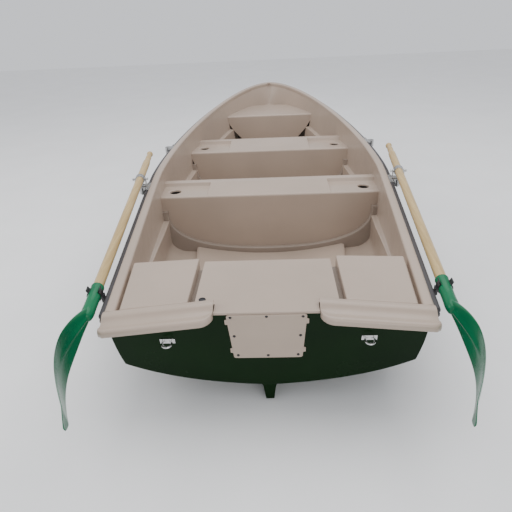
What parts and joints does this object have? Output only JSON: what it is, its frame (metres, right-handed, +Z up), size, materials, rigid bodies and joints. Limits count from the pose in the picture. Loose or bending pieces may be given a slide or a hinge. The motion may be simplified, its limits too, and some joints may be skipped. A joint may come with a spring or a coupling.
{
  "type": "rowing boat",
  "caption": "Open moulded rowing boat with thwarts, stern lockers, a motor pad and a pair of wooden oars stowed along the gunwales in swivelling rowlocks.",
  "frame": {"origin": "on the waterline with nobody aboard, on the centreline, at the top of the transom", "axes": "+Y to the bow, +X to starboard, +Z up"},
  "size_m": [1.5852, 4.388, 0.6893],
  "materials": {
    "hull_green": "glossy dark green",
    "liner_plastic": "satin warm light grey",
    "rail_rubber": "dark grey extruded rubber",
    "pad_plastic": "ribbed grey beige",
    "stainless": "polished stainless",
    "galvanised": "dull galvanised",
    "oar_wood": "varnished pale softwood",
    "blade_plastic": "glossy green",
    "clip_plastic": "black"
  },
  "bodies": {
    "hull": {"hull_shell": "hull_green", "transom": "hull_green", "skeg": "hull_green", "inner_liner": "liner_plastic", "floor_platform": "liner_plastic", "gunwale_port": "liner_plastic", "gunwale_starboard": "liner_plastic", "rub_rail_port": "rail_rubber", "rub_rail_starboard": "rail_rubber", "transom_cap_port": "liner_plastic", "transom_cap_starboard": "liner_plastic", "stern_seat": "liner_plastic", "stern_locker_port": "liner_plastic", "stern_locker_starboard": "liner_plastic", "midship_thwart": "liner_plastic", "forward_thwart": "liner_plastic", "bow_seat": "liner_plastic", "motor_pad": "pad_plastic", "stern_eye_port": "stainless", "stern_eye_starboard": "stainless", "bow_eye": "stainless", "aft_socket_port": "galvanised", "aft_socket_starboard": "galvanised", "forward_socket_port": "galvanised", "forward_socket_starboard": "galvanised", "oar_clip_port": "clip_plastic", "oar_clip_starboard": "clip_plastic"},
    "rowlock_port": {"rowlock_port": "galvanised"},
    "rowlock_starboard": {"rowlock_starboard": "galvanised"},
    "oar_port": {"oar_collar_port": "galvanised", "oar_shaft_port": "oar_wood", "oar_blade_port": "blade_plastic"},
    "oar_starboard": {"oar_collar_starboard": "galvanised", "oar_shaft_starboard": "oar_wood", "oar_blade_starboard": "blade_plastic"}
  },
  "joints": [
    {"name": "port_rowlock_swivel", "type": "hinge", "parent": "hull", "child": "rowlock_port", "pos_m": [-0.74645, 1.27, 0.46173], "axis": [0, 0, -1], "range_deg": [0, 130]},
    {"name": "port_oar_pitch", "type": "hinge", "parent": "rowlock_port", "child": "oar_port", "pos_m": [-0.74645, 1.27, 0.46173], "axis": [-0.9976, -0.0696, 0], "range_deg": [-25, 8]},
    {"name": "starboard_rowlock_swivel", "type": "hinge", "parent": "hull", "child": "rowlock_starboard", "pos_m": [0.74645, 1.27, 0.46173], "axis": [0, 0, 1], "range_deg": [0, 130]},
    {"name": "starboard_oar_pitch", "type": "hinge", "parent": "rowlock_starboard", "child": "oar_starboard", "pos_m": [0.74645, 1.27, 0.46173], "axis": [-0.9976, 0.0696, 0], "range_deg": [-25, 8]}
  ]
}
